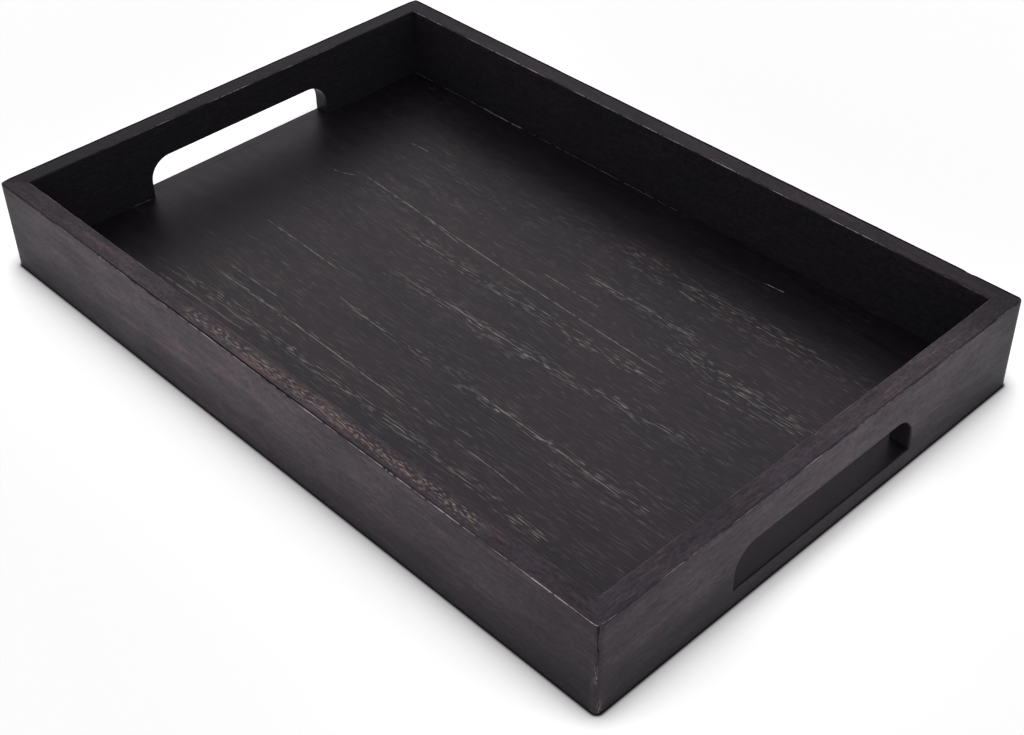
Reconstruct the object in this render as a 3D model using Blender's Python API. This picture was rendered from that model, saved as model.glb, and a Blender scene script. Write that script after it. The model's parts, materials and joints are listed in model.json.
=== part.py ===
"""Serving tray of dark stained wood.

Four wall boards meet in mitres, each mitre with a hidden key glued across it. Each
end board has a finger slot, level with the floor at its lower edge. The floor is a
panel of edge-glued staves, housed in a groove round the inside of the walls.

Metres, +Z up. X runs along the tray's length and Y across its width. The origin is
the middle of the tray, on the surface that it stands on.
"""
import math

import bmesh
import bpy

# Overall size
tray_length = 0.420
tray_width = 0.280
tray_height = 0.051

# Wall boards: the round on each upright corner and the eased long edges
wall_thickness = 0.011
corner_radius = 0.0028
top_ease = 0.0007
bottom_ease = 0.0010

# Floor panel: its lift above the table, its thickness and how far its edge is housed
floor_lift = 0.004
floor_thickness = 0.006
groove_depth = 0.005
stave_width_shares = (0.290, 0.245, 0.265, 0.200)

# Finger slot through each end board: square lower corners, round upper corners
slot_length = 0.120
slot_height = 0.021
slot_corner_radius = 0.0125
slot_ease = 0.0008

# Mitre keys: height, then thickness, length across the mitre and distance of the
# key from the outer corner's two faces, each as a share of the wall's thickness
key_height = 0.022
key_thickness_share = 0.27
key_length_share = 0.90
key_place_share = 0.68

# Clearance between two pieces that touch, and how far a cut runs past the wood
joint_gap = 0.0003
cut_overrun = 0.002

# Two points closer than this are level with each other
level_tolerance = 0.000001

# Flat faces that make up each round
corner_steps = 6
ease_steps = 3
slot_corner_steps = 10
key_end_steps = 8
sharp_angle = math.radians(40)

# Worked out from the sizes above
floor_top = floor_lift + floor_thickness
housing_inset = wall_thickness - groove_depth
panel_length = tray_length - 2 * (housing_inset + joint_gap)
panel_width = tray_width - 2 * (housing_inset + joint_gap)
key_thickness = wall_thickness * key_thickness_share
key_length = wall_thickness * key_length_share
key_place = wall_thickness * key_place_share
key_middle = (floor_top + tray_height) / 2

# Black stained hardwood outside, and the pale beech of the hidden keys
long_wall_colour = (0.058, 0.051, 0.056, 1.0)
end_wall_colour = (0.064, 0.056, 0.061, 1.0)
stave_colours = (
    (0.040, 0.036, 0.039, 1.0),
    (0.046, 0.041, 0.044, 1.0),
    (0.043, 0.038, 0.042, 1.0),
    (0.038, 0.034, 0.037, 1.0),
)
key_colour = (0.50, 0.34, 0.20, 1.0)
stain_roughness = 0.42
stave_roughness = 0.38
key_roughness = 0.75


def clear_scene():
    """Removes what the file opened with."""
    for ob in list(bpy.data.objects):
        bpy.data.objects.remove(ob, do_unlink=True)


def wood(name, colour, roughness):
    """Principled material for one piece of wood."""
    material = bpy.data.materials.new(name)
    material.use_nodes = True
    shader = material.node_tree.nodes["Principled BSDF"]
    shader.inputs["Base Color"].default_value = colour
    shader.inputs["Roughness"].default_value = roughness
    shader.inputs["Metallic"].default_value = 0.0
    material.diffuse_color = colour
    return material


def add_object(name, bm, parent, material=None):
    """Turns a finished bmesh into an object under its parent."""
    bmesh.ops.recalc_face_normals(bm, faces=bm.faces)
    mesh = bpy.data.meshes.new(name)
    bm.to_mesh(mesh)
    bm.free()
    mesh.shade_smooth()
    mesh.set_sharp_from_angle(angle=sharp_angle)
    ob = bpy.data.objects.new(name, mesh)
    bpy.context.scene.collection.objects.link(ob)
    ob.parent = parent
    if material:
        mesh.materials.append(material)
    return ob


def add_cutter(name, bm, parent):
    """A shape that only cuts others, left out of the part."""
    cutter = add_object(name, bm, parent)
    cutter.hide_render = True
    cutter.display_type = "WIRE"
    return cutter


def cut(ob, cutter):
    """Takes a cutter's shape out of a piece."""
    modifier = ob.modifiers.new(cutter.name, "BOOLEAN")
    modifier.operation = "DIFFERENCE"
    modifier.solver = "EXACT"
    modifier.object = cutter


def box(length, width, low, high):
    """Box centred on x and y between two levels."""
    bm = bmesh.new()
    bmesh.ops.create_cube(bm, size=1.0)
    bmesh.ops.scale(bm, vec=(length, width, high - low), verts=bm.verts)
    bmesh.ops.translate(bm, vec=(0.0, 0.0, (low + high) / 2), verts=bm.verts)
    return bm


def extruded(outline, vector):
    """Prism over a flat outline of 3-D points, carried along a vector."""
    bm = bmesh.new()
    face = bm.faces.new([bm.verts.new(point) for point in outline])
    grown = bmesh.ops.extrude_face_region(bm, geom=[face])
    moved = [item for item in grown["geom"] if isinstance(item, bmesh.types.BMVert)]
    bmesh.ops.translate(bm, vec=vector, verts=moved)
    return bm


def lofted(rings):
    """Closed skin over rings that have equally many points, with flat ends."""
    bm = bmesh.new()
    loops = [[bm.verts.new(point) for point in ring] for ring in rings]
    for near, far in zip(loops, loops[1:]):
        for i in range(len(near)):
            bm.faces.new((near[i - 1], near[i], far[i], far[i - 1]))
    bm.faces.new(loops[0])
    bm.faces.new(loops[-1])
    return bm


def arc(centre_x, centre_y, radius, start, end, steps):
    """Points along an arc, both ends included, angles in radians."""
    angles = [start + (end - start) * i / steps for i in range(steps + 1)]
    return [(centre_x + radius * math.cos(a), centre_y + radius * math.sin(a)) for a in angles]


def wall_outline(length):
    """Plan of a wall board, with its outer face on y = 0 and the ends mitred.

    Each mitre lies half a joint gap back from the line at 45 degrees, and the round
    of the outer corner runs from that line to the outer face.
    """
    half_gap = joint_gap / 2
    set_back = half_gap * math.sqrt(2)
    inner_end = length / 2 - wall_thickness - set_back
    round_centre = length / 2 - corner_radius
    on_mitre = math.asin(half_gap / corner_radius) - math.radians(135)
    on_face = math.radians(-90)
    left_round = arc(-round_centre, corner_radius, corner_radius, on_mitre, on_face, corner_steps)
    right_round = [(-x, y) for x, y in reversed(left_round)]
    return [(-inner_end, wall_thickness), *left_round, *right_round, (inner_end, wall_thickness)]


def long_edges(bm, level):
    """The edges along a wall board's two faces at one level, without the mitres' edges."""

    def on_level(vert):
        return abs(vert.co.z - level) < level_tolerance

    def on_inner_face(vert):
        return abs(vert.co.y - wall_thickness) < level_tolerance

    flat = [edge for edge in bm.edges if all(on_level(vert) for vert in edge.verts)]
    return [edge for edge in flat if on_inner_face(edge.verts[0]) == on_inner_face(edge.verts[1])]


def wall_blank(length):
    """A mitred wall board with eased edges, before its groove and mortises are cut."""
    outline = [(x, y, 0.0) for x, y in wall_outline(length)]
    bm = extruded(outline, (0.0, 0.0, tray_height))
    for level, ease in ((tray_height, top_ease), (0.0, bottom_ease)):
        bmesh.ops.bevel(
            bm,
            geom=long_edges(bm, level),
            offset=ease,
            offset_type="OFFSET",
            segments=ease_steps,
            profile=0.5,
            affect="EDGES",
        )
    return bm


def slot_ring(depth, growth, floor_growth):
    """Outline of a finger slot at one depth in the wall, grown by an eased edge."""
    half = slot_length / 2 + growth
    low = floor_top - floor_growth
    high = floor_top + slot_height + growth
    radius = slot_corner_radius + growth
    quarter = math.radians(90)
    right = arc(half - radius, high - radius, radius, 0.0, quarter, slot_corner_steps)
    left = [(-x, z) for x, z in reversed(right)]
    return [(x, depth, z) for x, z in [(-half, low), (half, low), *right, *left]]


def slot_cutter():
    """Cutter for a finger slot, flared at both faces so that it leaves rounded edges.

    On the inner face the slot's lower edge stays level with the floor.
    """
    rings = [slot_ring(-cut_overrun, slot_ease, slot_ease)]
    turns = [math.radians(90) * i / ease_steps for i in range(ease_steps + 1)]
    for turn in reversed(turns):
        growth = slot_ease * (1 - math.cos(turn))
        rings.append(slot_ring(slot_ease * (1 - math.sin(turn)), growth, growth))
    for turn in turns:
        growth = slot_ease * (1 - math.cos(turn))
        rings.append(slot_ring(wall_thickness - slot_ease * (1 - math.sin(turn)), growth, 0.0))
    rings.append(slot_ring(wall_thickness + cut_overrun, slot_ease, 0.0))
    return lofted(rings)


def key_shape(clearance):
    """A mitre key along x, with round top and bottom ends, grown by a clearance."""
    radius = key_thickness / 2 + clearance
    reach = key_height / 2 - key_thickness / 2
    half_length = key_length / 2 + clearance
    top = arc(0.0, reach, radius, 0.0, math.radians(180), key_end_steps)
    bottom = [(-y, -z) for y, z in top]
    outline = [(-half_length, y, z) for y, z in top + bottom]
    return extruded(outline, (2 * half_length, 0.0, 0.0))


def add_walls(tray):
    """The four mitred wall boards, placed by their outer faces."""
    half_length = tray_length / 2
    half_width = tray_width / 2
    walls = {
        "front_rail": (tray_length, (0.0, -half_width, 0.0), 0, long_wall_colour),
        "right_end_board": (tray_width, (half_length, 0.0, 0.0), 90, end_wall_colour),
        "back_rail": (tray_length, (0.0, half_width, 0.0), 180, long_wall_colour),
        "left_end_board": (tray_width, (-half_length, 0.0, 0.0), 270, end_wall_colour),
    }
    boards = {}
    for name, (length, place, turn, colour) in walls.items():
        board = add_object(name, wall_blank(length), tray, wood(f"{name}_wood", colour, stain_roughness))
        board.location = place
        board.rotation_euler.z = math.radians(turn)
        boards[name] = board
    return boards


def house_floor(boards, tray):
    """Cuts the floor's groove into all four wall boards with one cutter."""
    groove = box(
        panel_length + 2 * joint_gap,
        panel_width + 2 * joint_gap,
        floor_lift - joint_gap,
        floor_top + joint_gap,
    )
    cutter = add_cutter("groove_cutter", groove, tray)
    for board in boards.values():
        cut(board, cutter)


def cut_finger_slots(boards):
    """Cuts the finger slot through each end board."""
    for side in ("left", "right"):
        board = boards[f"{side}_end_board"]
        cut(board, add_cutter(f"{side}_slot_cutter", slot_cutter(), board))


def add_mitre_keys(boards, tray):
    """A key across each mitre, in a mortise cut half into each of the two boards."""
    key_wood = wood("mitre_key_wood", key_colour, key_roughness)
    for end, side_x in (("left", -1), ("right", 1)):
        for face, side_y in (("front", -1), ("back", 1)):
            place = (
                side_x * (tray_length / 2 - key_place),
                side_y * (tray_width / 2 - key_place),
                key_middle,
            )
            turn = math.atan2(-side_y, side_x)
            key = add_object(f"mitre_key_{face}_{end}", key_shape(0.0), tray, key_wood)
            mortise = add_cutter(f"mortise_cutter_{face}_{end}", key_shape(joint_gap), tray)
            for ob in (key, mortise):
                ob.location = place
                ob.rotation_euler.z = turn
            cut(boards[f"{face}_rail"], mortise)
            cut(boards[f"{end}_end_board"], mortise)


def add_floor(tray):
    """The floor's staves, edge to edge from the front of the panel to its back."""
    shared_width = panel_width - joint_gap * (len(stave_width_shares) - 1)
    front = -panel_width / 2
    for number, share in enumerate(stave_width_shares, 1):
        width = shared_width * share
        name = f"floor_stave_{number}"
        material = wood(f"{name}_wood", stave_colours[number - 1], stave_roughness)
        stave = add_object(name, box(panel_length, width, floor_lift, floor_top), tray, material)
        stave.location.y = front + width / 2
        front += width + joint_gap


def build_tray():
    """Builds every piece under one empty that marks the tray's origin."""
    clear_scene()
    tray = bpy.data.objects.new("tray_origin", None)
    bpy.context.scene.collection.objects.link(tray)
    boards = add_walls(tray)
    house_floor(boards, tray)
    cut_finger_slots(boards)
    add_mitre_keys(boards, tray)
    add_floor(tray)


build_tray()
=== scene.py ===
"""Black stained serving tray on a white studio floor.

The tray is four mitred wall boards, two of them with a finger slot, round a floor of
edge-glued staves. Every board is a surface worked out on a grid, with sanded edges
that wander a little, and takes its finish from one stained-wood material.
"""

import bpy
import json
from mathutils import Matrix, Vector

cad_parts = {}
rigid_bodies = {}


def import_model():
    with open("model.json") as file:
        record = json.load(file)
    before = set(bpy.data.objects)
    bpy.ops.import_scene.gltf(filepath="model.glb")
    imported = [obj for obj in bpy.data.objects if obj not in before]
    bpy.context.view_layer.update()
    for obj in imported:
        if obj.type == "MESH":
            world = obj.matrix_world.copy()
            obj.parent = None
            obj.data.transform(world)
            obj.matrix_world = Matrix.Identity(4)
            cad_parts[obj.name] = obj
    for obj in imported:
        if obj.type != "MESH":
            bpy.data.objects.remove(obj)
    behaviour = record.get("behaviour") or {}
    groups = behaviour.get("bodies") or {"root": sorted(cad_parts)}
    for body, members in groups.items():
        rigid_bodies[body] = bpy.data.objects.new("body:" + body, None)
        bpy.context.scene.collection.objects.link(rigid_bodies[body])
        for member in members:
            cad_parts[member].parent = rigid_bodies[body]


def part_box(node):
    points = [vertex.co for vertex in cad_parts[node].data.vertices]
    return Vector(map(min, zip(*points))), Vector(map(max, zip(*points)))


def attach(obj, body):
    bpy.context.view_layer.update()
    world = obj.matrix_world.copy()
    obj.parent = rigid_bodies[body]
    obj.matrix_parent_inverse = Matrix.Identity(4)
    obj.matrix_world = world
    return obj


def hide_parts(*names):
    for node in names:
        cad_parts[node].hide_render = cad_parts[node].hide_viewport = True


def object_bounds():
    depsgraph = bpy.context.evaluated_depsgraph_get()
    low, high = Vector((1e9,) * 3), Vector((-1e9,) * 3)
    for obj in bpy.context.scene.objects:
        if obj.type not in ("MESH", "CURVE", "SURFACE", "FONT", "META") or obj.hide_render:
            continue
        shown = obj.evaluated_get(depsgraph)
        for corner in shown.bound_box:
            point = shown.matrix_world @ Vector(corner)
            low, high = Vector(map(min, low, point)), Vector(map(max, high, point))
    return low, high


bl_info = {
    "name": "Stained wooden tray",
    "version": (1, 0, 0),
    "blender": (4, 5, 0),
    "location": "3D View > Sidebar > Tray",
    "description": "Mitred, black stained serving tray with rubbed edges, on a white studio floor",
    "category": "Object",
}

import json
import math

import bmesh
import bpy
import numpy as np
from mathutils import Matrix, Vector

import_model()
CAD_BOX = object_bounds()
RAIL_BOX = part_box("front_rail")
STAVE_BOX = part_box("floor_stave_1")

MM = 0.001

# The wall boards, each with the turn in degrees that brings it to its side of the tray
RAILS = {"front_rail": 0, "back_rail": 180}
END_BOARDS = {"right_end_board": 90, "left_end_board": 270}
STAVES = [f"floor_stave_{number}" for number in (1, 2, 3, 4)]
KEYS = [f"mitre_key_{face}_{end}" for face in ("front", "back") for end in ("left", "right")]

# Seeds of each board: one for the waves of its sanding, one for its grain, and at an end
# board one for the grain of its ledge
SEEDS = {
    "front_rail": (10, 3), "back_rail": (17, 4),
    "right_end_board": (40, 6, 14), "left_end_board": (47, 7, 15),
    "floor_stave_1": (70, 9), "floor_stave_2": (71, 10), "floor_stave_3": (72, 11), "floor_stave_4": (73, 12),
}

# Lengths of the waves that sanding by hand leaves on a wall's two faces, on the rim's edges
# and on the floor, and the stretch before a mitre in which those on the faces die out
OUTER_WAVE, INNER_WAVE = 60 * MM, 75 * MM
RIM_WAVE, FLOOR_WAVE = 45 * MM, 80 * MM
CALM_REACH = 20 * MM

# Shares of a wall's height at which its outer face starts to grow lighter and over which
# it does, and what is left of that lightness below them: the face is darker towards the foot
RISE_START, RISE_SPAN, FOOT_SHARE = 0.22, 0.45, 0.3

# Wear of the arrises round a finger slot, low enough that no patch of them is rubbed bare
SLOT_WEAR = -0.6

# How far a stave's edges lie below its middle, and the stretch right of the tray's middle
# over which the open glue seam opens
CUP = 0.03 * MM
OPENING = 50 * MM

# Painted shade on the floor beside the walls, where its pores are also filled, in
# millimetres from the left, right, front and back wall: the distance at which it starts and
# the one from which it is full
SHADE_AND_FILL_REACH = np.array([[95, 40], [32, 6], [32, 6], [60, 25]])

# Grid steps: points round an eased edge, the spacing of stations along a board, the distance
# from an eased edge to the first row on the flat face beside it, and the points across the
# rim and the middle of a slotted face
ARC = 7
PITCH = 2.5 * MM
MARGIN = 0.35 * MM
RIM_POINTS, FACE_POINTS = 7, 16

# Points along each stretch of the loops round a finger slot: lower side, upright side,
# rounded corner and upper side, and the numbers of the outline's first and last point on
# the rim
LOW_SIDE, UPRIGHT, ROUND, HIGH_SIDE = 72, 10, 16, 60
FIRST_TOP = LOW_SIDE + UPRIGHT + ROUND // 2
LAST_TOP = FIRST_TOP + ROUND + HIGH_SIDE

# Angle from which an edge is shaded sharp, and how level a face must be to count as a ledge
SHARP = math.radians(35)
LEVEL_NORMAL = 0.97


def linear(code):
    """Turns an sRGB hex colour, such as '#3a2c24', into linear red, green and blue."""
    parts = [int(code[i:i + 2], 16) / 255 for i in (1, 3, 5)]
    return tuple(c / 12.92 if c <= 0.04045 else ((c + 0.055) / 1.055) ** 2.4 for c in parts)


def length(name, description, default):
    """A length in metres, shown in the sidebar."""
    return bpy.props.FloatProperty(
        name=name, description=description, default=default, min=0.0,
        precision=5, unit="LENGTH", subtype="DISTANCE",
    )


def number(name, description, default):
    """A number without a unit."""
    return bpy.props.FloatProperty(name=name, description=description, default=default)


def colour(name, description, code):
    """A colour, given in sRGB and kept linear."""
    return bpy.props.FloatVectorProperty(
        name=name, description=description, default=linear(code), size=3,
        min=0.0, max=1.0, subtype="COLOR",
    )


class TraySizes(bpy.types.PropertyGroup):
    """Sizes of the tray's boards and of their sanded edges."""

    wall: length("Wall", "Thickness of the wall boards", RAIL_BOX[1].y - RAIL_BOX[0].y)
    height: length("Height", "Height of the walls", RAIL_BOX[1].z)
    floor_top: length("Floor level", "Height of the floor's upper face", STAVE_BOX[1].z)
    floor_lift: length("Floor lift", "Height of the floor's underside", STAVE_BOX[0].z)
    housing: length("Housing", "From a wall's outer face to the floor's edge", CAD_BOX[1].x - STAVE_BOX[1].x)
    fit: length("Fit", "Play between the floor and its groove", 0.02 * MM)
    corner_radius: length("Corner radius", "Round on the tray's upright corners", 2.8 * MM)
    top_ease: length("Rim edges", "Round on the rim's two edges", 0.7 * MM)
    top_wander: length("Rim edge wander", "How much the sanding of the rim's edges varies", 0.22 * MM)
    bottom_ease: length("Bottom edges", "Round on the lower edges", 1.0 * MM)
    slot_length: length("Slot length", "Length of a finger slot", 120 * MM)
    slot_height: length("Slot height", "Height of a finger slot", 21 * MM)
    slot_radius: length("Slot corner", "Round of a finger slot's upper corners", 12.5 * MM)
    slot_ease: length("Slot edges", "Round on a finger slot's edges", 0.8 * MM)
    open_seam: length("Open seam", "Round on a stave's edge where its glue seam shows", 0.13 * MM)
    tight_seam: length("Tight seam", "Round on a stave's edge where the seam is tight", 0.01 * MM)
    sanding_wave: length("Sanding waves", "Depth of the shallow waves that sanding leaves", 0.05 * MM)


class TrayColours(bpy.types.PropertyGroup):
    """Colours of the stain and of the wood under it, and the black of painted shade and joints."""

    sheen: colour("Sheen", "Faint tint of the wax in reflections", "#fff0fb")
    cool_stain: colour("Cool stain", "Black stain where it lies thick", "#1b1a1e")
    warm_stain: colour("Warm stain", "Stain where the wood's own brown comes through", "#231d21")
    # Painted shade: the black of the dark outline beside the rim's outer arris, of the shade by the walls and
    # under the foot, and of the mitres' dark joints
    shade_and_joint_black: colour("Shade and joint black", "Painted shade beside edges and walls, and dark joints", "#09070c")
    rubbed: colour("Rubbed stain", "Faces and edges that the rubbing cloth reached", "#50484f")
    red_wood: colour("Red heartwood", "Reddish wood under thin stain", "#594648")
    open_pore: colour("Open pore", "Pale pores and vessels that took no stain", "#b0a7a1")
    golden_grain: colour("Golden grain", "Pale sapwood streaks on the rim", "#b3a190")
    bare_edge: colour("Bare edge", "Wood rubbed bare along an edge", "#b5abad")
    beech: colour("Beech", "Raw beech of the keys in the mitres", "#b58e66")


class TrayStudio(bpy.types.PropertyGroup):
    """The camera, the light and the floor under the tray."""

    lens: number("Lens", "Focal length on a 36 mm sensor", 58.36)
    camera_place: bpy.props.FloatVectorProperty(
        name="Camera", description="Place of the camera", default=(0.48665, -0.43884, 0.51059),
        subtype="XYZ", unit="LENGTH",
    )
    camera_aim: bpy.props.FloatVectorProperty(
        name="Aim", description="Direction in which the camera looks",
        default=(-0.559055, 0.540805, -0.628481), subtype="XYZ",
    )
    camera_roll: bpy.props.FloatProperty(
        name="Roll", description="Turn of the camera about its own line of sight",
        default=math.radians(-0.684), subtype="ANGLE",
    )
    shift_x: number("Shift X", "Sideways shift of the picture", -0.02135)
    shift_y: number("Shift Y", "Upward shift of the picture", -0.01766)
    sky: number("Sky", "Brightness of the white tent round the tray", 1.0)


def steps(start, end, count, ends=True):
    """Evenly spaced values from start to end; without ends, the last one is left out."""
    return np.linspace(start, end, count, endpoint=ends)


def wander(along, seed, wavelength):
    """Smooth waves between -1 and 1 along a length: sines at golden-ratio pitches with seeded phases."""
    count, golden_ratio = 5, 1.618
    phases = np.random.default_rng(seed).uniform(0.0, 2 * math.pi, count)
    rates = golden_ratio ** (np.arange(count) - 2) / wavelength
    waves = [np.sin(2 * math.pi * rate * along + phase) for rate, phase in zip(rates, phases)]
    return sum(waves) / count


def reach_of(half_length, sizes):
    """Half the length of a board's outer face, measured round its corner to the mitre."""
    return half_length - sizes.corner_radius * (1 - math.pi / 4)


def bend(along, depth, half_length, sizes):
    """Plan place of a point of a mitred board that lies along X with its outer face on y = 0.

    along runs on the outer face from the board's middle, and depth goes inward from
    that face. Up to the corner's round, x = along. On the round of radius r, with
    the angle a = (|along| - straight) / r, x = straight + (r - depth) sin a and
    y = r - (r - depth) cos a, so that both ends lie on the 45 degree mitre. Deeper than
    r the line is straight, and beyond the knee, three walls' thickness from the end, it
    is scaled to end on the mitre.
    """
    radius = sizes.corner_radius
    straight = half_length - radius
    reach = reach_of(half_length, sizes)
    knee = half_length - 3 * sizes.wall
    run = np.abs(along)
    turn = np.clip((run - straight) / radius, 0.0, math.pi / 4)
    shallow = depth < radius
    round_x = np.minimum(run, straight) + (radius - depth) * np.sin(turn)
    deep_x = np.where(run > knee, knee + (run - knee) * (half_length - depth - knee) / (reach - knee), run)
    x = np.where(shallow, round_x, deep_x)
    y = np.where(shallow, radius - (radius - depth) * np.cos(turn), depth)
    return np.sign(along) * x, y


def sanded(along, depth, level, half_length, seed, sizes):
    """Depth of a point after sanding, which leaves shallow waves on both faces of a board.

    The outer face moves inward by a wave of (along, level), the inner face outward by
    another, and points between them by the mix of both. The waves die out at the mitres.
    """
    calm = np.clip((reach_of(half_length, sizes) - np.abs(along)) / CALM_REACH, 0.0, 1.0)
    outer = 0.5 + 0.5 * wander(along + 0.6 * level, seed, OUTER_WAVE)
    inner = 0.5 + 0.5 * wander(along - 0.8 * level, seed + 1, INNER_WAVE)
    share = depth / sizes.wall
    return depth + sizes.sanding_wave * calm * (outer * (1 - share) - inner * share)


def quads(rows, columns, close_rows=False):
    """Corner numbers of the faces of a grid whose columns close on themselves, and whose rows may."""
    i = np.arange(rows if close_rows else rows - 1)[:, None]
    j = np.arange(columns)[None, :]
    i_next, j_next = (i + 1) % rows, (j + 1) % columns
    corners = (i * columns + j, i_next * columns + j, i_next * columns + j_next, i * columns + j_next)
    return np.stack([np.broadcast_to(c, (len(i), columns)).ravel() for c in corners], axis=1).tolist()


def capped(rows, columns):
    """Faces of a grid that is closed round its cross-section, with one more over each end."""
    return quads(rows, columns) + [list(range(columns)), list(range((rows - 1) * columns, rows * columns))]


def add_piece(name, points, faces, attributes):
    """Makes a mesh object of a grid of points, with one value per point for each attribute."""
    mesh = bpy.data.meshes.new(name)
    mesh.from_pydata(points.reshape(-1, 3), [], faces)
    for key, values in attributes.items():
        layer = mesh.attributes.new(key, "FLOAT", "POINT")
        values = np.broadcast_to(values, points.shape[:-1]).astype(np.float32)
        layer.data.foreach_set("value", values.ravel())
    bm = bmesh.new()
    bm.from_mesh(mesh)
    bmesh.ops.recalc_face_normals(bm, faces=bm.faces)
    bm.to_mesh(mesh)
    bm.free()
    mesh.shade_smooth()
    mesh.set_sharp_from_angle(angle=SHARP)
    piece = bpy.data.objects.new(name, mesh)
    bpy.context.scene.collection.objects.link(piece)
    return piece


def stand_for(piece, node):
    """Lets a piece stand for a CAD node, whose part it hides, and ride on the root body."""
    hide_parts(node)
    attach(piece, "root")


def quarter(ease, count=ARC):
    """Turning of a rounded edge, as its distances from the two faces that it joins.

    They are r (1 - cos a) and r (1 - sin a), for the angle a from 0 to 90 degrees.
    """
    turn = steps(0.0, math.pi / 2, count)
    return ease * (1 - np.cos(turn)), ease * (1 - np.sin(turn))


def flat_run(start, end, count):
    """Values between two edges, one of them close to each edge, which keeps the face flat."""
    sign = np.sign(end - start)
    return start + sign * MARGIN + (end - start - 2 * sign * MARGIN) * steps(0.0, 1.0, count)


def joined(pieces, stations):
    """Joins the stretches of a cross-section, each a pair of grids, into one pair."""
    grids = (
        [np.broadcast_to(pair[k], (stations, np.shape(pair[k])[-1])) for pair in pieces] for k in (0, 1)
    )
    return tuple(np.concatenate(grid, axis=1) for grid in grids)


def rail_section(top, bottom, sizes):
    """Cross-section of a plain wall board at each station, as grids of depth and height.

    It goes up the outer face, over the rim, down the inner face, round the groove
    that houses the floor and back along the lower edge. Each edge is a quarter round,
    and each flat stretch between two of them has the number of points given for it.
    """
    wall, height, housing = sizes.wall, sizes.height, sizes.housing - sizes.fit
    ceiling, shelf = sizes.floor_top + sizes.fit, sizes.floor_lift - sizes.fit
    top, bottom = top[:, None], bottom[:, None]
    top_side, top_flat = quarter(top)
    low_side, low_flat = quarter(bottom)
    outer = flat_run(bottom, height - top, 10)
    rim = flat_run(top, wall - top, RIM_POINTS)
    inner = flat_run(height - top, ceiling + 0 * top, 9)
    lip = flat_run(shelf + 0 * bottom, bottom, 3)
    foot = flat_run(wall - bottom, bottom, 5)
    groove = (np.array([[wall, housing, housing, wall]]), np.array([[ceiling, ceiling, shelf, shelf]]))
    pieces = [
        (0 * outer, outer),
        (top_side, height - top_flat),
        (rim, height + 0 * rim),
        (wall - top_flat, height - top_side),
        (wall + 0 * inner, inner),
        groove,
        (wall + 0 * lip, lip),
        (wall - low_side, low_flat),
        (foot, 0 * foot),
        (low_flat, low_side),
    ]
    return joined(pieces, len(top))


def wall_attributes(along, depth, level, half_length, rub, sizes):
    """Values that the wood's finish reads at each point of a wall board, distances in millimetres.

    edge is the distance to the nearest long arris, and wear, from 0 to 1, says how
    much of that arris is rubbed bare, which those of the foot never are. corner is the
    distance to the outer upright corner, joint to the mitre, depth to the outer face
    and below_rim to the rim. shade_and_joint_black says how dark the painted shade on the
    rim beside the outer arris is, a dark outline: none shows below 0.57, it is black at
    0.9, and above that the line widens. shade_and_fill is 1 on the ledge under a slot and
    under the foot, where it paints shade. rubbed, from 0 to 1, says how far the stain was
    rubbed back: on the outer face it follows five values along the board and falls
    smoothly to its least share in the lower half, darker towards the foot, and the inner
    face keeps all its stain, which is painted shade.
    """
    wall, height = sizes.wall, sizes.height
    near, far = depth, wall - depth
    low, high = level, height - level
    to_arris = np.stack([np.hypot(near, high), np.hypot(far, high), np.hypot(near, low), np.hypot(far, low)])
    to_mitre = reach_of(half_length, sizes) - np.abs(along)
    spread = {
        key: np.interp(along / half_length, steps(-1.0, 1.0, len(values)), values)
        for key, values in rub.items()
    }
    unworn = 0 * spread["rim"]
    arris_wear = np.stack([spread["outer_arris"], spread["inner_arris"], unworn, unworn])
    nearest = np.argmin(to_arris, axis=0)[None]
    # The outer face is darker towards the foot
    rise = np.clip((level / height - RISE_START) / RISE_SPAN, 0.0, 1.0)
    outer = spread["outer"] * (FOOT_SHARE + (1 - FOOT_SHARE) * rise ** 2 * (3 - 2 * rise))
    on_rim = np.clip(1 - high / sizes.top_ease, 0.0, 1.0)
    on_outer = np.clip(1 - near / (2 * sizes.top_ease), 0.0, 1.0)
    # Painted shade on the slot's ledge and under the foot, at the floor's level and below
    by_floor = np.clip(1 - (level - sizes.floor_top) / (0.5 * MM), 0, 1)
    behind_face = np.clip(near / (0.2 * MM) - 0.1, 0, 1)
    return {
        "edge": to_arris.min(axis=0) / MM,
        "wear": np.take_along_axis(arris_wear, nearest, axis=0)[0],
        "corner": np.hypot(to_mitre, depth) / MM,
        "joint": to_mitre / MM,
        "depth": depth / MM,
        "below_rim": high / MM,
        # Painted shade: a dark outline on the rim beside the outer arris
        "shade_and_joint_black": spread["shade_and_joint_black"],
        "shade_and_fill": by_floor * behind_face,
        # The inner face keeps its full stain, which is painted shade, and the outer face is darker towards
        # the foot
        "rubbed": np.maximum(outer * on_outer * (1 - on_rim), spread["rim"] * on_rim),
    }


def wall_points(along, depth, level, half_length, turn, seed, sizes):
    """Places a wall board's grid: sanded, bent round its corners and turned to its side of the tray."""
    x, y = bend(along, sanded(along, depth, level, half_length, seed, sizes), half_length, sizes)
    outward = CAD_BOX[1].y if turn in RAILS.values() else CAD_BOX[1].x
    local = np.stack(np.broadcast_arrays(x, y - outward, level), axis=-1)
    spin = np.array(Matrix.Rotation(math.radians(turn), 3, "Z"))
    return local @ spin.T


def eases(along, seed, sizes):
    """Radius of the rim's rounded edges at each station, which wanders as hand sanding does."""
    return sizes.top_ease + sizes.top_wander * wander(along, seed, RIM_WAVE)


def dented(along, dents):
    """How much a board's rounded edges grow at each station, a bell curve at each dent."""
    bells = (depth * MM * np.exp(-((along / MM - place) / half) ** 2) for place, half, depth in dents)
    return sum(bells, 0 * along)


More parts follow.
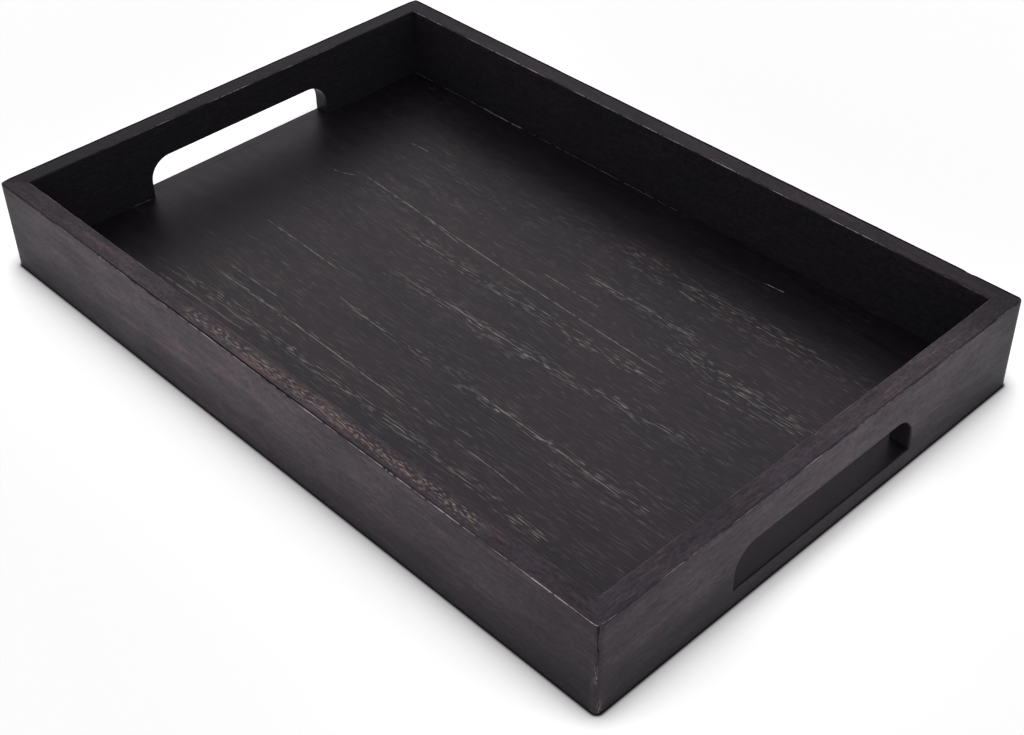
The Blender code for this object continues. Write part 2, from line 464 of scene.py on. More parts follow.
def make_rail(name, turn, seed, rub, dents, sizes):
    """A plain wall board: its cross-section carried along its length, closed at both mitres."""
    half_length = CAD_BOX[1].x
    straight = half_length - sizes.corner_radius
    run = steps(-straight, straight, round(2 * straight / PITCH) + 1)
    turned = steps(straight, reach_of(half_length, sizes), ARC)[1:]
    along = np.concatenate([-turned[::-1], run, turned])
    rounding = eases(along, seed, sizes) + dented(along, dents)
    depth, level = rail_section(rounding, sizes.bottom_ease + 0 * along, sizes)
    grid = along[:, None] + 0 * depth
    points = wall_points(grid, depth, level, half_length, turn, seed, sizes)
    attributes = wall_attributes(grid, depth, level, half_length, rub, sizes)
    return add_piece(name, points, capped(*depth.shape), attributes)


def slot_loop(growth, low_growth, low, sizes):
    """A finger slot's outline as arrays of along and level, from its lower left corner.

    The lower corners are square, the upper ones quarter rounds, and the outline can
    be grown, which its eased edges need.
    """
    half = sizes.slot_length / 2 + growth
    high = sizes.floor_top + sizes.slot_height + growth
    radius = sizes.slot_radius + growth
    base = low - low_growth
    centre, spring = half - radius, high - radius
    turn = steps(0.0, math.pi / 2, ROUND, ends=False)
    along = [
        steps(-half, half, LOW_SIDE, ends=False), np.full(UPRIGHT, half), centre + radius * np.cos(turn),
        steps(centre, -centre, HIGH_SIDE, ends=False), -centre - radius * np.sin(turn),
        np.full(UPRIGHT, -half),
    ]
    level = [
        np.full(LOW_SIDE, base), steps(base, spring, UPRIGHT, ends=False), spring + radius * np.sin(turn),
        np.full(HIGH_SIDE, high), spring + radius * np.cos(turn), steps(spring, base, UPRIGHT, ends=False),
    ]
    return np.concatenate(along), np.concatenate(level)


def face_loop(half_length, seed, sizes):
    """The outline of an end board's face, matched point by point to slot_loop.

    It goes straight from corner to corner, with three on each upright side and a shoulder
    near each end of the rim, and stops short of the rim by the radius of its eased edge.
    """
    reach = reach_of(half_length, sizes)
    shoulder = 0.72 * reach
    bottom = sizes.bottom_ease
    left_ceiling, ceiling = sizes.height - eases(np.array([-reach, reach]), seed, sizes)
    waist = 0.6 * ceiling
    corners = (
        (-reach, bottom), (reach, bottom), (reach, waist), (reach, ceiling), (shoulder, ceiling),
        (-shoulder, ceiling), (-reach, left_ceiling), (-reach, waist), (-reach, bottom),
    )
    half_round = ROUND // 2
    counts = (LOW_SIDE, UPRIGHT, half_round, half_round, HIGH_SIDE, half_round, half_round, UPRIGHT)
    runs = list(zip(corners, corners[1:], counts))
    along, level = (
        np.concatenate([steps(a[k], b[k], count, ends=False) for a, b, count in runs]) for k in (0, 1)
    )
    on_rim = slice(FIRST_TOP, LAST_TOP)
    level[on_rim] = sizes.height - eases(along[on_rim], seed, sizes)
    return along, level


def between(start, end):
    """Rows across a flat face from one loop to another, close together near both of them.

    The first ones lie 1, 2.6, 5.5 and 9 margins from each loop, and closer in proportion
    where the two loops are less than 36 margins apart.
    """
    reach = np.hypot(end[0] - start[0], end[1] - start[1])[:, None]
    near = MARGIN * np.array([1.0, 2.6, 5.5, 9.0]) * np.minimum(1.0, reach / (36 * MARGIN))
    first = near[:, -1:]
    middle = first + (reach - 2 * first) * steps(0.0, 1.0, FACE_POINTS)
    offsets = np.concatenate([near[:, :-1], middle, reach - near[:, -2::-1]], axis=1)
    share = offsets / reach
    return tuple(a[:, None] + (b - a)[:, None] * share for a, b in zip(start, end))


def end_section(half_length, seed, sizes):
    """A slotted wall board as grids of along, depth and level, closed both ways round.

    Each line of the grid starts inside the finger slot, crosses the slot's wall to the
    outer face, runs over it to the board's outline, crosses the rim, the lower edge
    or the mitre, and comes back over the inner face to the slot. Below the slot, the
    floor lies on a lip, one step down from the ledge at the outer face.
    """
    wall, height, ease = sizes.wall, sizes.height, sizes.slot_ease
    step = sizes.housing - sizes.fit
    ledge, lip = sizes.floor_top, sizes.floor_lift - sizes.fit
    outline = face_loop(half_length, seed, sizes)
    number = np.arange(len(outline[0]))[:, None]
    foot = number <= LOW_SIDE
    rim = (number >= FIRST_TOP) & (number <= LAST_TOP)
    along, depth, level = [], [], []

    def put(a, d, z):
        for rows, values in zip((along, depth, level), np.broadcast_arrays(a, d, z, np.ones(number.shape))):
            rows.append(values)

    # Slot wall: rounded inner edge, lip, step and ledge. Beside and above the slot the step
    # is 1 mm deeper, which keeps its rows apart.
    side, flat = quarter(ease)
    for growth, back in zip(side[::-1], flat[::-1]):
        a, z = slot_loop(growth, 0.0, lip, sizes)
        put(a[:, None], wall - np.where(foot, 0.0, back), z[:, None])
    a_in, z_in = (v[:, None] for v in slot_loop(0.0, 0.0, lip, sizes))
    a_out, z_out = (v[:, None] for v in slot_loop(0.0, 0.0, ledge, sizes))
    skew = np.where(foot, 0.0, 1.0 * MM)
    for share in (0.5, 1.0):
        put(a_in, (wall - ease) + (step + skew - wall + ease) * share, z_in)
    for share in (0.0, 0.5, 1.0):
        put(a_out, step - skew + (ease - step + skew) * share * 0.9, z_out)
    for growth, out in zip(side, flat):
        a, z = slot_loop(growth, growth, ledge, sizes)
        put(a[:, None], out, z[:, None])

    # Outer face
    a, z = between(slot_loop(ease, ease, ledge, sizes), outline)
    put(a, 0.0 * a, z)

    # Rim, lower edge or mitre
    radius = np.where(foot, sizes.bottom_ease, eases(outline[0], seed, sizes)[:, None])
    turn_side, turn_flat = quarter(radius)
    across = flat_run(radius, wall - radius, RIM_POINTS)
    band_depth = np.concatenate([turn_side, across, wall - turn_flat], axis=1)
    band_drop = np.concatenate([turn_flat, 0 * across, turn_side], axis=1)
    plain_depth = steps(0.0, wall, band_depth.shape[1])[None, :]
    band_level = np.where(foot, band_drop, np.where(rim, height - band_drop, outline[1][:, None]))
    put(outline[0][:, None], np.where(foot | rim, band_depth, plain_depth), band_level)

    # Inner face
    a, z = between(outline, slot_loop(ease, 0.0, lip, sizes))
    put(a, wall + 0.0 * a, z)
    return tuple(np.concatenate(rows, axis=1) for rows in (along, depth, level))


def slot_distance(along, depth, level, sizes):
    """Distance in millimetres from the slot's two edges: from its outline in the face, and from the face.

    The outline is a box with a quarter round at each upper corner; past the round's
    centre the distance is measured from that centre, less the radius.
    """
    radius = sizes.slot_radius
    over = np.abs(along) - (sizes.slot_length / 2 - radius)
    up = level - (sizes.floor_top + sizes.slot_height - radius)
    in_round = (over > 0) & (up > 0)
    straight = np.maximum.reduce([over - radius, up - radius, sizes.floor_top - level])
    outline = np.abs(np.where(in_round, np.hypot(over, up) - radius, straight))
    return np.hypot(outline, np.minimum(depth, sizes.wall - depth)) / MM


def finish_ledge(board, material, sizes):
    """Gives a slot's ledge, the faces that look up at the floor's level, the floor's own finish."""
    polygons = board.data.polygons
    normals, centres = np.empty(3 * len(polygons)), np.empty(3 * len(polygons))
    polygons.foreach_get("normal", normals)
    polygons.foreach_get("center", centres)
    upward = normals[2::3] > LEVEL_NORMAL
    level = np.abs(centres[2::3] - sizes.floor_top) < sizes.slot_ease
    board.data.materials.append(material)
    polygons.foreach_set("material_index", (upward & level).astype(np.int32))


def make_end_board(name, turn, seed, rub, sizes):
    """A wall board with a finger slot, one closed grid round the slot."""
    half_length = CAD_BOX[1].y
    along, depth, level = end_section(half_length, seed, sizes)
    points = wall_points(along, depth, level, half_length, turn, seed, sizes)
    attributes = wall_attributes(along, depth, level, half_length, rub, sizes)
    to_slot = slot_distance(along, depth, level, sizes)
    attributes["wear"] = np.where(to_slot < attributes["edge"], SLOT_WEAR, attributes["wear"])
    attributes["edge"] = np.minimum(attributes["edge"], to_slot)
    return add_piece(name, points, quads(*along.shape, close_rows=True), attributes)


def make_stave(name, front, back, front_ease, back_ease, seed, sizes):
    """A floor stave: a plank with rounded upper edges, a little cupped, carried along X.

    The upper face is z = top - cup * (2 t - 1)^2, with t from 0 to 1 across the stave.
    Each edge's rounding has its first value on the left half, and goes over to its
    second just right of the middle, so that a glue seam can open along its way. The
    attribute shade_and_fill, painted shade that also fills the pores, goes smoothly from 0
    to 1 towards each wall, over the reach given for it, and edge and corner are too far for
    any wear to show.
    """
    low, top = sizes.floor_lift, sizes.floor_top
    end = CAD_BOX[1].x - sizes.housing
    x = steps(-end, end, round(2 * end / PITCH) + 1)[:, None]
    opened = np.clip(x / OPENING, 0.0, 1.0)
    (front_side, front_flat), (back_side, back_flat) = (
        quarter(first + (second - first) * opened, 4) for first, second in (front_ease, back_ease)
    )
    margin = 0.2 * MM
    inner = steps(front + 9 * margin, back - 9 * margin, 24)
    across = np.concatenate([[front + margin], inner, [back - margin]]) + 0 * x
    edge = 0 * x
    back_round = back - back_flat[:, ::-1]
    y = np.concatenate([front + edge, front + front_side, across, back_round, back + edge], axis=1)
    foot = top - low + edge
    edge_drop = np.concatenate([foot, front_flat, 0 * across, back_side[:, ::-1], foot], axis=1)
    share = np.clip((y - front) / (back - front), 0.0, 1.0)
    dip = CUP * (2 * share - 1) ** 2
    wave = sizes.sanding_wave * (0.5 + 0.5 * wander(x + 0.7 * y, seed, FLOOR_WAVE))
    z = top - edge_drop - np.where(edge_drop < 0.5 * (top - low), dip + wave, 0.0)
    points = np.stack(np.broadcast_arrays(x, y, z), axis=-1)
    inner_x, inner_y = CAD_BOX[1].x - sizes.wall, CAD_BOX[1].y - sizes.wall
    to_walls = np.stack(np.broadcast_arrays(inner_x + x, inner_x - x, inner_y + y, inner_y - y), axis=-1)
    # Painted shade beside the walls, which also fills the pores there
    start, full = (SHADE_AND_FILL_REACH * MM).T
    shade_and_fill = np.clip((start - to_walls) / (start - full), 0.0, 1.0).max(axis=-1)
    attributes = {"edge": 9.0, "corner": 99.0, "shade_and_fill": shade_and_fill ** 2 * (3 - 2 * shade_and_fill)}
    return add_piece(name, points, capped(*points.shape[:2]), attributes)


# Sockets of the colour Mix node, whose names repeat
MIX_SHARE, MIX_FIRST, MIX_SECOND, MIXED = 0, 6, 7, 2

# The wood's patterns, all of them noise stretched along the grain: its length and width in
# millimetres, the seed that sets it apart, the two noise values between which its mask
# rises, and its finer detail. Fibres, pores, vessels and flecks are about twice as wide as
# real ones, which would not show.
PATTERNS = {
    "warm stripe": (70, 20, 1, 0.38, 0.60, 2),
    "cloud": (24, 9, 2, 0.25, 0.75, 4),
    "red streak": (38, 4, 3, 0.53, 0.72, 3),
    "fibre": (7, 0.5, 4, 0.25, 0.75, 2),
    "scuff": (2.4, 1.3, 16, 0.3, 0.7, 2),
    "golden fleck": (3.2, 0.48, 12, 0.56, 0.7, 0),
    "pore zone": (60, 9, 5, 0.50, 0.72, 1),
    "pore": (6.5, 0.38, 6, 0.5, 0.9, 0),
    "vessel": (15, 0.42, 8, 0.72, 0.78, 0),
    "broken line": (3, 0.5, 15, 0.35, 0.6, 1),
    "joint": (9, 9, 17, 0.38, 0.5, 1),
    "wear patch": (25, 9, 9, 0.25, 0.75, 2),
    "nibble": (1.8, 1.2, 10, 0.3, 0.56, 2),
    "knock": (14, 14, 13, 0.46, 0.62, 1),
    "scratch": (0.4, 1.6, 14, 0.45, 0.65, 0),
    "wax": (30, 6, 11, 0.3, 0.7, 3),
    "beech fleck": (3, 0.5, 1, 0.5, 0.7, 1),
    "beech tint": (12, 3, 2, 0.3, 0.7, 3),
}

# How strongly a mark shows where its mask is full
STRENGTH = {
    "corner": 0.3, "red": 2.2, "shade_and_fill": 0.85, "gold": 0.45, "zone": 0.2, "band": 0.85, "line": 0.42,
    "joint": 0.7, "scratch": 0.28,
}

# The wood of each kind of board: whether its grain runs along Y, its IOR, how far its own
# warmth comes through, how open its pores are, and how much the scuffs of sanding show. Wax
# has an IOR of about 1.45, and the tray's faces shine less than that.
WOODS = {
    "rail": (False, 1.15, 0.5, 1.1, 0.4),
    "end_board": (True, 1.15, 0.25, 1.3, 0.4),
    "ledge": (False, 1.33, 0.9, 0.5, 0.4),
    "floor": (False, 1.33, 0.9, 1.0, 0.16),
}

# The grain's sway: how long and wide its waves are, and how far they move it
SWAY_LONG, SWAY_WIDE, SWAY = 160 * MM, 30 * MM, 7 * MM

# Light that the paper gives back to the tray, and its faint tint where the camera sees it
PAPER_GREY = 0.75
PAPER_TINT = (1.0, 0.99, 1.0)


def fill(tree, node, inputs):
    """Gives a node's inputs their values, or their links from other nodes."""
    for key, value in inputs.items():
        if isinstance(value, bpy.types.NodeSocket):
            tree.links.new(value, node.inputs[key])
        else:
            node.inputs[key].default_value = value


def add(tree, kind, inputs=None, output=0, **settings):
    """Adds a node with its settings, fills its inputs, and returns one output, or the node for None."""
    node = tree.nodes.new("ShaderNode" + kind)
    for key, value in settings.items():
        setattr(node, key, value)
    fill(tree, node, inputs or {})
    return node if output is None else node.outputs[output]


def new_material(name):
    """A new material, with its node tree and its shader."""
    material = bpy.data.materials.new(name)
    material.use_nodes = True
    return material, material.node_tree, material.node_tree.nodes["Principled BSDF"]


def streaks(tree, place, pattern):
    """Mask of one of the patterns: noise stretched to its length by its width, and cut off softly."""
    long, wide, seed, low, high, detail = PATTERNS[pattern]
    across = 1 / (wide * MM)
    stretched = add(tree, "Mapping", {
        "Vector": place, "Location": (7.3 * seed, 3.1 * seed, 5.7 * seed),
        "Scale": (1 / (long * MM), across, across),
    })
    noise = add(tree, "TexNoise", {"Vector": stretched, "Scale": 1.0, "Detail": detail})
    return add(tree, "MapRange", {
        "Value": noise, "From Min": low, "From Max": high,
    }, interpolation_type="SMOOTHSTEP")


def product(tree, *shares):
    """Product of masks and plain shares."""
    total = shares[0]
    for share in shares[1:]:
        total = add(tree, "Math", {0: total, 1: share}, operation="MULTIPLY")
    return total


def coated(tree, base, *coats):
    """A colour with coats of others laid over it in turn, each given as its colour and its mask."""
    for coat, mask in coats:
        base = add(tree, "Mix", {
            MIX_SHARE: mask, MIX_FIRST: base, MIX_SECOND: (*coat, 1.0),
        }, MIXED, data_type="RGBA")
    return base


def near_edge(tree, attribute, reach, core):
    """Mask that is 1 within core millimetres of what the attribute measures, and 0 beyond reach."""
    distance = add(tree, "Attribute", output="Fac", attribute_name=attribute)
    return add(tree, "MapRange", {
        "Value": distance, "From Min": reach, "From Max": core,
    }, interpolation_type="SMOOTHSTEP")


def grain_line(tree, place, line, core):
    """Mask of one long grain line or band: a parabola y(x), faded out at its two ends.

    With t from 0 to 1 along it, y = start + (end - start) t + 4 bow t (1 - t). The mask is
    1 within core times the half width of that curve, and falls to 0 at the half width. It
    is 0 on the undersides, which lie below 6 mm.
    """
    x0, y0, x1, y1, bow, width = (value * MM for value in line)
    x, y, z = add(tree, "SeparateXYZ", {"Vector": place}, None).outputs
    along = add(tree, "MapRange", {"Value": x, "From Min": x0, "From Max": x1})
    chord = add(tree, "MapRange", {
        "Value": x, "From Min": x0, "From Max": x1, "To Min": y0, "To Max": y1,
    })
    rest = add(tree, "Math", {0: 1.0, 1: along}, operation="SUBTRACT")
    arch = product(tree, along, rest, 4.0)
    curve = add(tree, "Math", {0: arch, 1: bow, 2: chord}, operation="MULTIPLY_ADD")
    off = add(tree, "Math", {0: y, 1: curve}, operation="SUBTRACT")
    distance = add(tree, "Math", {0: off}, operation="ABSOLUTE")
    body = add(tree, "MapRange", {
        "Value": distance, "From Min": width, "From Max": core * width,
    }, interpolation_type="SMOOTHSTEP")
    ends = add(tree, "MapRange", {"Value": arch, "From Min": 0.0, "From Max": 0.25})
    upper = add(tree, "MapRange", {"Value": z, "From Min": 6 * MM, "From Max": 8 * MM})
    return product(tree, body, ends, upper)


def stained_wood(name, kind, seed, colours, lines=(), bands=(), gold=()):
    """Acacia, sanded, stained black, rubbed back by hand and waxed.

    The eye sees a nearly black satin board with slow warm and cool stripes, hair-fine
    pale pores in zones along the grain, and brown bare wood where edges were rubbed.
    """
    turned, ior, warmth, porosity, scuffs = WOODS[kind]
    material, tree, shader = new_material(name)
    rubbed, shade_and_fill, shade_and_joint_black, wear = (
        add(tree, "Attribute", output="Fac", attribute_name=key)
        for key in ("rubbed", "shade_and_fill", "shade_and_joint_black", "wear")
    )
    spot = add(tree, "TexCoord", output="Object")
    lengthways = add(tree, "Mapping", {
        "Vector": spot, "Rotation": (0.0, 0.0, -math.pi / 2 if turned else 0.0),
    })
    board = add(tree, "Mapping", {
        "Vector": lengthways, "Location": (0.37 * seed, 0.11 * seed, 0.05 * seed),
    })

    # The grain sways a few millimetres over a hand's width
    slow = add(tree, "Mapping", {
        "Vector": board, "Scale": (1 / SWAY_LONG, 1 / SWAY_WIDE, 1 / SWAY_WIDE),
    })
    sway = add(tree, "TexNoise", {"Vector": slow, "Scale": 1.0, "Detail": 1.0}, "Color")
    centred = add(tree, "VectorMath", {0: sway, 1: (-0.5, -0.5, -0.5)}, operation="ADD")
    grain = add(tree, "VectorMath", {
        0: centred, 1: (0.0, SWAY, SWAY), 2: board,
    }, operation="MULTIPLY_ADD")

    # Warm stripes in the stain, and stain rubbed back on the faces in soft clouds, reddish
    # in places, and a little at the upright corners
    warm = product(tree, streaks(tree, grain, "warm stripe"), warmth)
    cloud = streaks(tree, grain, "cloud")
    cloudy = add(tree, "Math", {0: cloud, 1: 0.6, 2: 0.55}, operation="MULTIPLY_ADD")
    corner = product(tree, near_edge(tree, "corner", 5.0, 1.5), STRENGTH["corner"])
    # rubbed is 0 on the inner faces, whose full dark stain is painted shade, and falls towards the outer
    # faces' foot
    thin = add(tree, "Math", {0: product(tree, rubbed, cloudy), 1: corner}, operation="MAXIMUM")
    red = product(tree, streaks(tree, grain, "red streak"), rubbed, STRENGTH["red"] * warmth)

    # Fibres 0.5 mm apart and the scuffs of sanding between them
    fibre = streaks(tree, grain, "fibre")
    scuff = streaks(tree, board, "scuff")
    shade = add(tree, "Math", {0: fibre, 1: 0.36, 2: 0.82 - 0.5 * scuffs}, operation="MULTIPLY_ADD")
    shade = add(tree, "Math", {0: scuff, 1: scuffs, 2: shade}, operation="MULTIPLY_ADD")

    # Sapwood that shows golden where the stain was rubbed off it, fleck by fleck
    golden = [
        product(
            tree, grain_line(tree, lengthways, band, 0.1), streaks(tree, board, "golden fleck"),
            STRENGTH["gold"],
        ) for band in gold
    ]

    # Open pores: crisp dashes some 4 mm long, sparse and faint in plain wood, and both more
    # and paler in zones and bands, with a few longer vessels. A wall's are open where its
    # stain was rubbed, and the floor's are filled close to the walls.
    crowd = product(tree, streaks(tree, grain, "pore zone"), STRENGTH["zone"])
    for band in bands:
        mask = product(tree, grain_line(tree, lengthways, band, 0.0), STRENGTH["band"])
        crowd = add(tree, "Math", {0: crowd, 1: mask}, operation="MAXIMUM")
    reached, slope, base = (shade_and_fill, -0.8, 1.0) if kind == "floor" else (rubbed, 0.8, 0.1)
    unfilled = add(tree, "Math", {0: reached, 1: slope, 2: base}, operation="MULTIPLY_ADD")
    paleness = add(tree, "Math", {0: crowd, 1: 0.4, 2: 0.11}, operation="MULTIPLY_ADD")
    pore = streaks(tree, board, "pore")
    pore = add(tree, "Math", {0: crowd, 1: 0.16, 2: pore}, operation="MULTIPLY_ADD")
    pore = add(tree, "Math", {0: pore, 1: 3.2, 2: -1.5}, operation="MULTIPLY_ADD", use_clamp=True)
    pore = add(tree, "Math", {0: pore, 1: streaks(tree, board, "vessel")}, operation="MAXIMUM")
    open_pores = product(tree, pore, paleness, unfilled, porosity)
    for line in lines:
        broken = streaks(tree, board, "broken line")
        mask = product(tree, grain_line(tree, lengthways, line, 0.2), broken, STRENGTH["line"])
        open_pores = add(tree, "Math", {0: open_pores, 1: mask}, operation="MAXIMUM")

    # Painted shade: a dark outline on the rim beside its outer arris; and dark stain in the mitres' joints
    on_rim = near_edge(tree, "below_rim", 0.5, 0.1)
    spread = product(tree, near_edge(tree, "depth", 2.2, 0.7), shade_and_joint_black)
    beside = add(tree, "MapRange", {"Value": spread, "From Min": 0.57, "From Max": 0.9})
    off_rim = add(tree, "Math", {0: 1.0, 1: on_rim}, operation="SUBTRACT")
    joint = product(
        tree, near_edge(tree, "joint", 0.6, 0.2), off_rim, streaks(tree, board, "joint"),
        near_edge(tree, "below_rim", 26.0, 12.0), STRENGTH["joint"],
    )
    dark = add(tree, "Math", {0: product(tree, beside, on_rim), 1: joint}, operation="MAXIMUM")

    # Edges: brown where rubbed thin, pale where rubbed bare, broken along their length
    patchy = add(tree, "Math", {0: streaks(tree, board, "wear patch"), 1: wear}, operation="ADD")
    patchy = add(tree, "Math", {0: patchy, 1: 2.2, 2: -1.6}, operation="MULTIPLY_ADD", use_clamp=True)
    worn = add(tree, "Math", {0: wear, 1: 0.95, 2: 0.1}, operation="MULTIPLY_ADD", use_clamp=True)
    bare = product(tree, near_edge(tree, "edge", 0.42, 0.24), patchy, streaks(tree, board, "nibble"), worn)

    # Upright corners: brown upright scratches low down, where tables knock them
    high_up = near_edge(tree, "below_rim", 24.0, 16.0)
    low_down = add(tree, "Math", {0: 1.0, 1: high_up}, operation="SUBTRACT")
    knocked = product(
        tree, near_edge(tree, "corner", 2.2, 0.6), streaks(tree, board, "knock"),
        streaks(tree, board, "scratch"), low_down, STRENGTH["scratch"],
    )

    # The colour: stain shaded by its fibres, and over it, first, painted shade beside the
    # walls, on the slot's ledge and under the foot
    stain = coated(
        tree, (*colours.cool_stain, 1.0), (colours.warm_stain, warm), (colours.rubbed, thin),
        (colours.red_wood, red),
    )
    shaded = add(tree, "VectorMath", {0: stain, "Scale": shade}, operation="SCALE")
    finish = coated(
        tree, shaded, (colours.shade_and_joint_black, product(tree, shade_and_fill, STRENGTH["shade_and_fill"])),
        *((colours.golden_grain, mask) for mask in golden), (colours.open_pore, open_pores),
        (colours.shade_and_joint_black, dark), (colours.bare_edge, bare), (colours.golden_grain, knocked),
    )

    # Wax fills the grain unevenly and open pores stay dull; the painted dark outline and the joints reflect
    # less
    wax = streaks(tree, grain, "wax")
    satin = add(tree, "Math", {0: wax, 1: 0.08, 2: 0.36}, operation="MULTIPLY_ADD")
    relief = add(tree, "Math", {0: open_pores, 1: -1.5, 2: fibre}, operation="MULTIPLY_ADD")
    fill(tree, shader, {
        "IOR": ior,
        "Specular Tint": (*colours.sheen, 1.0),
        "Base Color": finish,
        "Roughness": add(tree, "Math", {0: open_pores, 1: 0.2, 2: satin}, operation="MULTIPLY_ADD"),
        "Specular IOR Level": add(tree, "Math", {0: dark, 1: -0.5, 2: 0.5}, operation="MULTIPLY_ADD"),
        "Normal": add(tree, "Bump", {"Height": relief, "Strength": 0.35, "Distance": 0.06 * MM}),
    })
    return material


def planed_beech(name, colours):
    """Beech, planed and left raw: pale tan with short darker flecks along the grain."""
    material, tree, shader = new_material(name)
    spot = add(tree, "TexCoord", output="Object")
    fleck, tint = streaks(tree, spot, "beech fleck"), streaks(tree, spot, "beech tint")
    dark = [0.55 * c for c in colours.beech]
    fill(tree, shader, {
        "Base Color": coated(
            tree, (*colours.beech, 1.0), (dark, product(tree, tint, 0.5)), (dark, product(tree, fleck, 0.6)),
        ),
        "Roughness": add(tree, "Math", {0: tint, 1: 0.15, 2: 0.55}, operation="MULTIPLY_ADD"),
        "Normal": add(tree, "Bump", {"Height": fleck, "Strength": 0.3, "Distance": 0.05 * MM}),
    })
    return material


# Grain lines and porous bands of the floor, stave by stave, in millimetres from the tray's
# middle: place of the start, place of the end, bow and half width
GRAIN_LINES = {
    "floor_stave_1": (
        (-119, -77, 31, -79, 1, 0.4), (61, -79, 111, -81, 0.5, 0.4), (-139, -99, -69, -97.5, 0, 0.5),
        (-119, -69.5, -79, -69, 0, 0.4), (-199.3, -78, -198.3, -63, 0, 5),
    ),
    "floor_stave_2": (
        (41, -49, 141, -53, 0.5, 0.4), (-139, -31, -75, -33, 0, 0.4), (-44, -49, -19, -49.5, 0, 0.4),
        (-44, -14, 51, -13, 1, 0.3),
    ),
    "floor_stave_3": (
        (-139, 34, 106, 22.5, -1.5, 0.45), (-99, 32, -49, 26, 0, 0.35), (-151, 25, -137, 30.5, -1, 0.4),
        (16, 53, 91, 52, 1, 0.4), (1, 38.5, 41, 38, 0, 0.35), (121, 26, 151, 28.5, 0, 0.35),
        (-141, 73.5, -126, 74.5, 0, 0.5),
    ),
    "floor_stave_4": (
        # The first two lines here are a pale line along the back wall's foot, not grain
        (-215, 128.5, 20, 128.5, 0, 0.18), (-141, 128.4, -107, 128.4, 0, 0.6), (85, 111, 98, 112, 0, 0.4),
    ),
}
POROUS_BANDS = {
    "floor_stave_1": ((-150, -92, 150, -95, 3, 6), (-120, -76, 60, -78, 0, 3)),
    "floor_stave_2": ((20, -50, 170, -53, 1, 5), (-60, -14, 150, -3, -4, 7), (-60, -48, 20, -50, 0, 4)),
    "floor_stave_3": (
        (-80, 16, 110, 16, -4, 9), (20, 52, 100, 52, 1, 5), (80, 42, 190, 34, 0, 12), (20, 76, 140, 76, 0, 4),
    ),
    "floor_stave_4": ((10, 88, 150, 82, -3, 9),),
}

# How far each wall board was rubbed back, at five places along it: its outer face, its rim
# and the rim's two arrises, and how dark the painted shade beside the outer arris is, a dark
# outline
RUBBING = {
    "front_rail": {
        "outer": (0.1, 0.8, 0.75, 0.5, 0.22), "rim": (0.18, 0.5, 0.57, 0.45, 0.35),
        # The outer arris is rubbed bare most towards the right end, which also paints the highlight at the
        # near corner's tip
        "outer_arris": (0.25, 0.6, 0.95, 1.0, 1.0), "inner_arris": (0.9, 0.7, 0.35, 0.4, 0.4),
        "shade_and_joint_black": (0.67, 0.83, 0.9, 0.74, 0.5),
    },
    "right_end_board": {
        "outer": (0.36, 0.5, 0.68, 0.75, 0.1), "rim": (0.42, 0.42, 0.48, 0.62, 0.1),
        "outer_arris": (0.3, 0.45, 0.4, 0.4, 0.3), "inner_arris": (0.4, 0.45, 0.5, 0.45, 0.3),
        "shade_and_joint_black": (0.5, 0.67, 0.7, 0.7, 0.67),
    },
    "back_rail": {
        "outer": (0.1, 0.45, 0.6, 0.5, 0.2), "rim": (0.05, 0.2, 0.15, 0.12, 0.0),
        "outer_arris": (0.1, 0.1, 0.15, 0.2, 0.1), "inner_arris": (0.5, 0.6, 0.6, 0.6, 0.5),
        "shade_and_joint_black": (2.0,) * 5,
    },
    "left_end_board": {
        "outer": (0.2, 0.3, 0.4, 0.5, 0.2), "rim": (0.0, 0.05, 0.05, 0.05, 0.0),
        "outer_arris": (0.15,) * 5, "inner_arris": (0.3, 0.35, 0.4, 0.4, 0.4),
        "shade_and_joint_black": (2.0,) * 5,
    },
}

# Dents in a rim's edges: place along the board from its middle, half length and depth
DENTS = {"back_rail": ((-181.0, 3.0, 0.9),)}

# The golden streak on the front rail's rim, given as the grain lines are
GOLDEN_STREAKS = {"front_rail": ((-62, -134.3, 148, -134.6, 0.3, 4.6),)}

# Half the width of the studio's floor in metres, and how far it lies below the tray's foot,
# so that the two don't touch
STUDIO_HALF = 6.0
PAPER_DROP = 0.05 * MM


